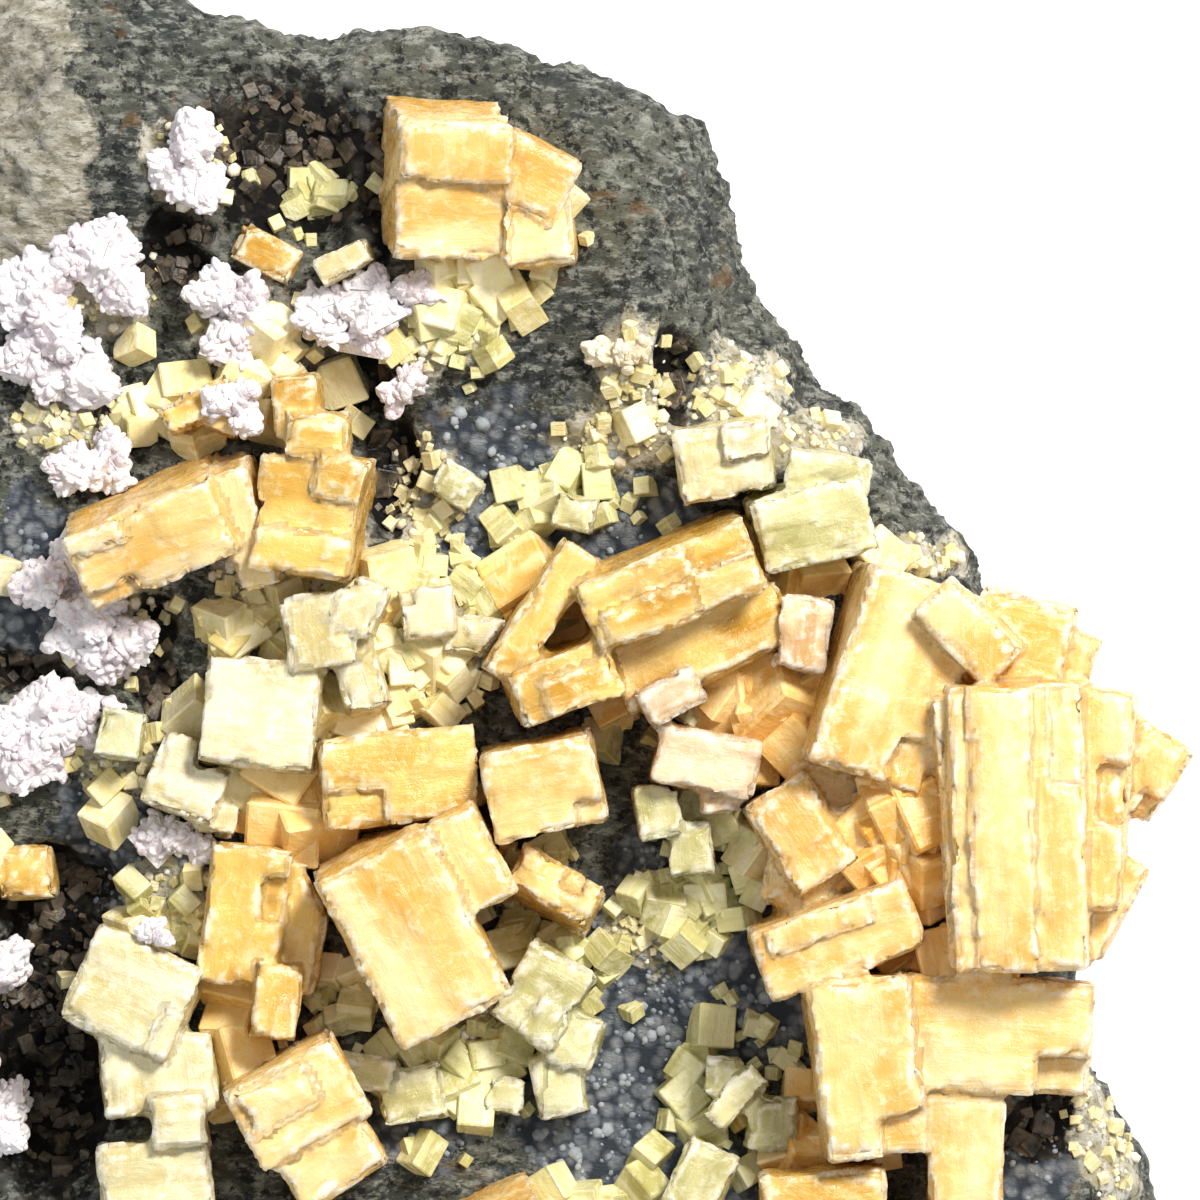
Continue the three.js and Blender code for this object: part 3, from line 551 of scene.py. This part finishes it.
def fluorite_material(name, light, deep, veil, see_through=0.22, density=60, dust=0.25):
    """Cloudy fluorite between two tones, with paler veils and frosted edges, and painted shade: deeper on side
    faces and towards the foot.
    """
    made, s, shader = new_material(name, specular=0.5, ior=1.434)
    lie = s.node("ShaderNodeAttribute", attribute_name="lie").outputs["Vector"]
    given = [s.node("ShaderNodeAttribute", attribute_name=kind) for kind in ("edge", "hollow", "rise", "side")]
    edge, hollow, rise, side = (made_by.outputs["Fac"] for made_by in given)
    fibres = s.noise(MM, 4, 0.7, 0.6, s.stretched((0.16, 1.1, 1), source=lie))
    bands = s.noise(MM, 2, 0.5, 0.3, s.stretched((0.035, 0.2, 1), source=lie))
    scales = s.noise(0.55, 5, 0.75, 0.4)
    frost = s.mix(0.55, veil, paint(255, 250, 238))
    # Painted shade: besides the random clouding, the tone deepens towards the foot and pales towards the top.
    cloud_and_height_shade = s.math("ADD", s.noise(0.11, 3, 0.62), s.math("MULTIPLY", s.math("SUBTRACT", rise, 0.6), 0.22))
    colour = s.mix(s.span(cloud_and_height_shade, 0.38, 0.64), deep, light)
    colour = s.mix(s.span(bands, 0.5, 0.66, 0, 0.5), colour, veil)
    colour = s.mix(s.span(bands, 0.48, 0.36, 0, 0.6), colour, deep)
    # Painted shade: side faces turn to the deeper tone.
    colour = s.mix(s.span(side, 0.3, 0.85, 0, 0.4), colour, deep)
    colour = s.mix(s.span(fibres, 0.5, 0.66, 0, 0.3), colour, veil)
    colour = s.mix(s.span(scales, 0.5, 0.62, 0, 0.3), colour, veil)
    worn = s.math("MAXIMUM", s.span(hollow, -0.08, -0.4), s.math("MULTIPLY", edge, 0.6))
    colour = s.mix(s.math("MULTIPLY", worn, s.span(scales, 0.35, 0.6), True), colour, frost)
    colour = s.mix(s.span(scales, 0.56, 0.66, 0, dust), colour, frost)
    s.put(colour, shader.inputs["Base Color"])
    s.put(s.span(scales, 0.35, 0.65, 0.12, 0.42), shader.inputs["Roughness"])
    relief = s.math("ADD", s.math("MULTIPLY", fibres, 0.6), s.math("MULTIPLY", scales, 0.9))
    relief = s.math("MULTIPLY", relief, s.math("SUBTRACT", 1.0, edge))
    s.put(s.bump(relief, 0.22), shader.inputs["Normal"])
    shader.inputs["Transmission Weight"].default_value = see_through
    if density:
        inside = s.node("ShaderNodeVolumeAbsorption")
        inside.inputs["Color"].default_value = (1.0, 0.82, 0.42, 1)
        inside.inputs["Density"].default_value = density
        s.put(inside.outputs["Volume"], made.node_tree.nodes["Material Output"].inputs["Volume"])
    return made


rock_solid = solid_tree("matrix")

honey = fluorite_material("honey fluorite", paint(250, 216, 140), paint(230, 176, 80), paint(253, 234, 184))
amber = fluorite_material("amber fluorite", paint(242, 200, 102), paint(202, 148, 42), paint(250, 224, 152))
pale = fluorite_material(
    "pale fluorite", paint(238, 226, 180), paint(208, 190, 124), paint(250, 243, 218), density=0
)
green = fluorite_material(
    "greenish fluorite", paint(220, 212, 152), paint(172, 164, 92), paint(238, 234, 200), density=0
)
dusty = fluorite_material(
    "dusty fluorite", paint(244, 212, 160), paint(190, 144, 86), paint(252, 234, 206), density=0, dust=0.6
)

FLUORITE = (
    (honey, ("right_cluster", "middle_right", "lower_cube", "bottom_left", "left_cube", "upper", "far_bottom")),
    (amber, (
        "central", "left_pair", "slab", "middle", "lower_back", "bottom_block", "shadow_crystal", "striped",
        "pocket", "far_left",
    )),
    (pale, ("pale_group", "corner", "left_small", "crusted", "pale_cube", "ledge", "far_corner")),
    (green, (
        "green", "green_right", "grey_cube", "set_cube", "foot_cubes", "floor_cube", "shaded", "upper_right",
        "bottom_small", "barite_cube",
    )),
    (dusty, ("brown", "wedge")),
)
SLOT_OF = {row["node"]: row["material_slot"] for row in frame["record"]["subparts"]}
LARGE_VOXEL, SMALL_VOXEL = 0.44 * MM, 0.34 * MM
LARGE_SPAN = 14 * MM

for stone, names in FLUORITE:
    for name in names:
        node = "fluorite_" + name
        low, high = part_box(node)
        mesh = grown_crystal(node, LARGE_VOXEL if max(high - low) > LARGE_SPAN else SMALL_VOXEL)
        new_piece(name + "_crystals", mesh, stone, SLOT_OF[node], node)

# Barite. White to faintly pink rosettes of small rounded blades that grew last, over rock and fluorite, and one
# cream-coloured fin. Each is one lumpy mass: the solid's blades with many smaller ones grown out of them.
BLADE_SPACING = 0.86 * MM


def round_template(subdivisions):
    """Places and triangles of a ball of radius one, for copies that are stretched to blades and grains."""
    bm = bmesh.new()
    bmesh.ops.create_icosphere(bm, subdivisions=subdivisions, radius=1.0)
    verts = np.array([v.co[:] for v in bm.verts])
    faces = np.array([[v.index for v in f.verts] for f in bm.faces])
    bm.free()
    return verts, faces


def cube_template(bevel=0.12):
    """Places and triangles of a cube of half-length one with small bevels."""
    bm = bmesh.new()
    bmesh.ops.create_cube(bm, size=2.0)
    bmesh.ops.bevel(bm, geom=bm.edges[:], offset=bevel, segments=1, affect="EDGES", profile=0.5)
    bmesh.ops.triangulate(bm, faces=bm.faces[:])
    verts = np.array([v.co[:] for v in bm.verts])
    faces = np.array([[v.index for v in f.verts] for f in bm.faces])
    bm.free()
    return verts, faces


def joined_copies(name, template, placements):
    """One mesh of many copies: placements are (place, 3 by 3 turn and size)."""
    verts, faces = template
    places = np.array([p[:] for p, _ in placements])
    turns = np.array([[row[:] for row in m] for _, m in placements])
    all_verts = np.einsum("kij,nj->kni", turns, verts) + places[:, None, :]
    all_faces = faces[None, :, :] + (np.arange(len(placements)) * len(verts))[:, None, None]
    mesh = bpy.data.meshes.new(name)
    mesh.from_pydata(all_verts.reshape(-1, 3).tolist(), [], all_faces.reshape(-1, 3).tolist())
    lie = verts[None, :, :] * 1.6 + np.arange(len(placements))[:, None, None] * 7.3
    mesh.attributes.new("lie", "FLOAT_VECTOR", "POINT").data.foreach_set("vector", lie.ravel())
    # A fixed rise of 0.9 gives small copies the paler top tone of the fluorite's painted shade.
    mesh.attributes.new("rise", "FLOAT", "POINT").data.foreach_set("value", np.full(lie.size // 3, 0.9))
    return mesh


def turned(direction, spin, size):
    """A 3 by 3 matrix that points a template's Z along direction, spins it and sizes it."""
    turn = direction.to_track_quat("Z", "Y").to_matrix() @ Matrix.Rotation(spin, 3, "Z")
    return turn @ Matrix.Diagonal(size)


def surface_points(mesh, spacing, chance):
    """Places and outward directions spread evenly over a solid's triangles."""
    mesh.calc_loop_triangles()
    for tri in mesh.loop_triangles:
        a, b, c = (mesh.vertices[k].co for k in tri.vertices)
        expected = tri.area / (spacing * spacing)
        for _ in range(int(expected) + (chance.random() < expected % 1)):
            s, t = chance.random(), chance.random()
            if s + t > 1:
                s, t = 1 - s, 1 - t
            yield a + (b - a) * s + (c - a) * t, Vector(tri.normal)


def barite_rosette(node):
    """A solid's rosette with small blades grown outward from all of it but its underside."""
    chance = random.Random(node)
    solid = frame["nodes"][node].data
    low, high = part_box(node)
    heart = (low + high) / 2
    heart.z = low.z
    placements = []
    for point, normal in surface_points(solid, BLADE_SPACING, chance):
        if normal.z < -0.35:
            continue
        away = Vector([chance.gauss(0, 0.45) for _ in range(3)])
        outward = (0.6 * normal + 0.9 * (point - heart).normalized() + away).normalized()
        length = chance.uniform(0.6, 1.15) * MM
        size = (length * chance.uniform(0.5, 0.8), length * chance.uniform(0.3, 0.5), length)
        placements.append((point - outward * length * 0.45, turned(outward, chance.uniform(0, math.pi), size)))
    blades = joined_copies(node, round_template(2), placements)
    bm = bmesh.new()
    bm.from_mesh(solid)
    sink_roots(bm, rock_solid)
    bm.from_mesh(blades)
    mesh = bpy.data.meshes.new(node)
    bm.to_mesh(mesh)
    bm.free()
    places = [v.co.copy() for v in mesh.vertices]
    raise_surface(mesh, [0.1 * MM * noise.fractal(co / (0.5 * MM), 0.7, 2.0, 2) for co in places])
    return mesh


def barite_material(name, white, shade):
    made, s, shader = new_material(name, specular=0.35, ior=1.64)
    colour = s.mix(s.span(s.noise(0.35, 4), 0.4, 0.65), white, shade)
    colour = s.mix(s.span(s.noise(1.6, 4, 0.7), 0.52, 0.68, 0, 0.6), colour, paint(250, 248, 246))
    s.put(colour, shader.inputs["Base Color"])
    shader.inputs["Roughness"].default_value = 0.62
    s.put(s.bump(s.noise(2.2, 3, 0.7), 0.35), shader.inputs["Normal"])
    return made


white_barite = barite_material("white barite", paint(240, 235, 236), paint(212, 200, 204))
cream_fin = barite_material("cream fin", paint(238, 226, 200), paint(208, 190, 156))

for node in sorted(n for n in frame["nodes"] if n.startswith("barite_")):
    material = cream_fin if node == "barite_fin" else white_barite
    name = node.replace("barite_", "") + "_barite"
    new_piece(name, barite_rosette(node), material, SLOT_OF[node], node)

# Linings and loose growth on the rock: blue-grey bobbles, pale crust grains, dark cavity crystals and a fine
# druse of small fluorite cubes between the large crystals. All are fused to the rock or to each other.
LOWEST_GROWTH = 5 * MM
crystal_cover = solid_tree(*[name for name in frame["nodes"] if name != "matrix"])


def open_rock(x, y):
    """Place and outward direction on the worked rock at a plan point, or nothing where a crystal covers it."""
    above = in_plan(x, y, 0.2)
    hit, normal, _, _ = rock_surface.ray_cast(above, DOWN)
    if hit is None or hit.z < LOWEST_GROWTH:
        return None
    crystal = crystal_cover.ray_cast(above, DOWN)[0]
    return None if crystal is not None and crystal.z > hit.z + 0.4 * MM else (hit, normal)


def scattered(kind, count, size_range, squash, lift, chance):
    """Placements over the patches of one kind, denser towards their middles."""
    placements = []
    patches = ROCK_PATCHES[kind]
    weights = [rx * ry for _, (rx, ry) in patches]
    for _ in range(count):
        (cx, cy), (rx, ry) = chance.choices(patches, weights)[0]
        x, y = cx + chance.gauss(0, 0.55) * rx, cy + chance.gauss(0, 0.55) * ry
        if patch_strength(kind, x, y) < 0.5:
            continue
        found = open_rock(x, y)
        if found is None:
            continue
        hit, normal = found
        size = chance.uniform(*size_range) * MM * (0.6 + 0.8 * chance.random() ** 2)
        tilt = (normal + 0.25 * Vector([chance.gauss(0, 1) for _ in range(3)])).normalized()
        scale = (size, size * chance.uniform(0.8, 1.2), size * squash)
        placements.append((hit + normal * size * lift, turned(tilt, chance.uniform(0, 6), scale)))
    return placements


def grain_material(name, light, dark, per_mm, roughness):
    made, s, shader = new_material(name, specular=0.4, ior=1.5)
    colour = s.mix(s.span(s.noise(per_mm, 4, 0.6), 0.35, 0.65), dark, light)
    colour = s.mix(s.span(s.noise(2.2, 4, 0.7), 0.55, 0.7, 0, 0.6), colour, light)
    s.put(colour, shader.inputs["Base Color"])
    shader.inputs["Roughness"].default_value = roughness
    s.put(s.bump(s.noise(3.0, 3, 0.6), 0.12), shader.inputs["Normal"])
    return made


beads = scattered("lining", 1100, (0.22, 0.6), 0.8, -0.25, random.Random(11))
bead_stone = grain_material("lining", paint(150, 155, 158), paint(92, 100, 110), 0.3, 0.7)
new_piece("lining_beads", joined_copies("beads", round_template(1), beads), bead_stone, "rock")

grains = scattered("crust", 900, (0.25, 0.65), 0.8, 0.15, random.Random(12))
grain_stone = grain_material("crust", paint(240, 234, 218), paint(198, 184, 148), 0.4, 0.6)
new_piece("crust_grains", joined_copies("grains", round_template(1), grains), grain_stone, "rock")

druse = scattered("crust", 1500, (0.2, 0.62), 1.0, 0.2, random.Random(13))
druse_stone = fluorite_material(
    "druse", paint(226, 214, 164), paint(190, 176, 112), paint(246, 240, 214), see_through=0, density=0
)
druse_mesh = joined_copies("druse", cube_template(), druse)
new_piece("druse_cubes", druse_mesh, druse_stone, "pale_fluorite", smooth=False)

shards = scattered("dark", 800, (0.18, 0.8), 0.6, -0.1, random.Random(14))
shard_stone = grain_material("cavity crust", paint(98, 86, 70), paint(22, 19, 16), 0.45, 0.4)
shard_mesh = joined_copies("shards", cube_template(), shards)
new_piece("cavity_shards", shard_mesh, shard_stone, "rock", smooth=False)

# Small fluorite crystals that fill the gaps between the large ones: golden, pale and greenish cubes of one to
# seven millimetres, grown into each other and onto the rock.
GAP_CRYSTALS = {
    "golden": [
        ((880, 790), (70, 90)), ((880, 720), (60, 60)), ((800, 780), (60, 70)), ((960, 960), (60, 50)),
        ((760, 680), (50, 60)), ((600, 700), (60, 40)), ((470, 800), (60, 70)), ((300, 800), (60, 80)),
        ((250, 1040), (70, 60)), ((420, 900), (60, 60)), ((1000, 640), (60, 40)), ((800, 620), (40, 60)),
        ((820, 1120), (90, 50)), ((330, 560), (60, 50)), ((930, 1050), (60, 50)), ((905, 860), (30, 80)),
        ((900, 840), (40, 60)), ((550, 590), (40, 40)), ((870, 830), (50, 70)),
    ],
    "pale": [
        ((300, 640), (130, 100)), ((430, 640), (80, 80)), ((240, 780), (70, 70)), ((380, 700), (90, 50)),
        ((480, 270), (80, 60)), ((540, 230), (40, 50)), ((330, 330), (60, 60)), ((160, 400), (60, 50)),
        ((230, 930), (80, 60)), ((400, 980), (60, 60)), ((860, 900), (60, 60)), ((130, 1000), (70, 80)),
        ((1010, 1000), (80, 60)), ((740, 440), (80, 40)), ((560, 640), (80, 50)), ((880, 560), (60, 30)),
        ((-120, 700), (90, 200)), ((350, 1350), (200, 120)), ((90, 720), (60, 60)), ((280, 400), (60, 40)),
    ],
    "green": [
        ((690, 790), (60, 80)), ((560, 960), (80, 80)), ((440, 1070), (90, 70)), ((740, 1100), (80, 90)),
        ((640, 700), (60, 40)), ((330, 1010), (50, 50)), ((530, 880), (60, 50)), ((700, 900), (60, 60)),
        ((560, 500), (70, 40)), ((440, 600), (60, 60)), ((170, 940), (60, 60)), ((600, 1330), (140, 120)),
        ((640, 620), (90, 40)), ((460, 320), (60, 50)), ((310, 200), (60, 40)),
    ],
}

STEEPEST_ROOT = 0.6
GAP_TONES = {
    "golden": (700, 2.9, "honey_fluorite", paint(246, 212, 136), paint(220, 164, 70), paint(252, 234, 186)),
    "pale": (1100, 1.7, "pale_fluorite", paint(238, 226, 172), paint(208, 190, 118), paint(250, 244, 216)),
    "green": (900, 1.4, "pale_fluorite", paint(216, 210, 152), paint(168, 160, 92), paint(238, 234, 200)),
}


def gap_crystals(tone, count, largest, chance):
    patches = GAP_CRYSTALS[tone]
    weights = [rx * ry for _, (rx, ry) in patches]
    placements = []
    for _ in range(count):
        (cx, cy), (rx, ry) = chance.choices(patches, weights)[0]
        found = open_rock(cx + chance.gauss(0, 0.5) * rx, cy + chance.gauss(0, 0.5) * ry)
        if found is None or found[1].z < STEEPEST_ROOT:
            continue
        hit, normal = found
        half = MM * (0.5 + largest * chance.random() ** 2)
        tilt = (normal + Vector([chance.gauss(0, 0.6) for _ in range(3)])).normalized()
        scale = [half * chance.uniform(0.75, 1.2) for _ in range(3)]
        placements.append((hit + normal * half * 0.25, turned(tilt, chance.uniform(0, 6), scale)))
    return joined_copies(tone + "_gaps", cube_template(0.08), placements)


for tone, (count, largest, slot, *colours) in GAP_TONES.items():
    stone = fluorite_material(tone + " gap fluorite", *colours, see_through=0, density=0)
    crystals = gap_crystals(tone, count, largest, random.Random(tone))
    new_piece(tone + "_gap_crystals", crystals, stone, slot, smooth=False)

# Camera, floor and light. A pale surface under the specimen, one large soft lamp from the upper right and a
# white surround. The camera looks straight down on the crystals from far away.
FOCAL_LENGTH, SENSOR = 600, 36
VIEW_WIDTH = 1200 * PLAN_UNIT
SHARP_HEIGHT = 36 * MM
FLOOR_HALF = 3.0

lens = bpy.data.cameras.new("camera")
lens.lens = FOCAL_LENGTH
lens.sensor_width = SENSOR
lens.clip_end = 20
camera = bpy.data.objects.new("camera", lens)
camera.location = in_plan(600, 600, SHARP_HEIGHT + VIEW_WIDTH * FOCAL_LENGTH / SENSOR)
bpy.context.scene.collection.objects.link(camera)
bpy.context.scene.camera = camera


def pale_floor():
    mesh = bpy.data.meshes.new("floor")
    corners = [(-FLOOR_HALF, -FLOOR_HALF, 0), (FLOOR_HALF, -FLOOR_HALF, 0)]
    corners += [(FLOOR_HALF, FLOOR_HALF, 0), (-FLOOR_HALF, FLOOR_HALF, 0)]
    mesh.from_pydata(corners, [], [(0, 1, 2, 3)])
    floor = bpy.data.objects.new("floor", mesh)
    bpy.context.scene.collection.objects.link(floor)
    made, s, shader = new_material("pale floor", specular=0.1)
    s.put(s.mix(s.noise(0.02, 2), paint(250, 250, 252), paint(254, 254, 255)), shader.inputs["Base Color"])
    shader.inputs["Roughness"].default_value = 0.9
    mesh.materials.append(made)


def soft_lamp(name, place, size, watts, tint):
    light = bpy.data.lights.new(name, "AREA")
    light.shape = "DISK"
    light.size = size
    light.energy = watts
    light.color = tint
    lamp = bpy.data.objects.new(name, light)
    lamp.location = place
    lamp.rotation_euler = (-Vector(place)).to_track_quat("-Z", "Y").to_euler()
    bpy.context.scene.collection.objects.link(lamp)


def white_surround(strength):
    world = bpy.data.worlds.new("surround")
    world.use_nodes = True
    background = world.node_tree.nodes["Background"]
    background.inputs["Color"].default_value = (0.93, 0.96, 1.0, 1)
    background.inputs["Strength"].default_value = strength
    bpy.context.scene.world = world


pale_floor()
soft_lamp("upper_right_lamp", (0.35, 0.45, 0.75), 0.25, 12.5, (1.0, 0.97, 0.93))
white_surround(0.75)
bpy.context.scene.view_settings.view_transform = "Standard"
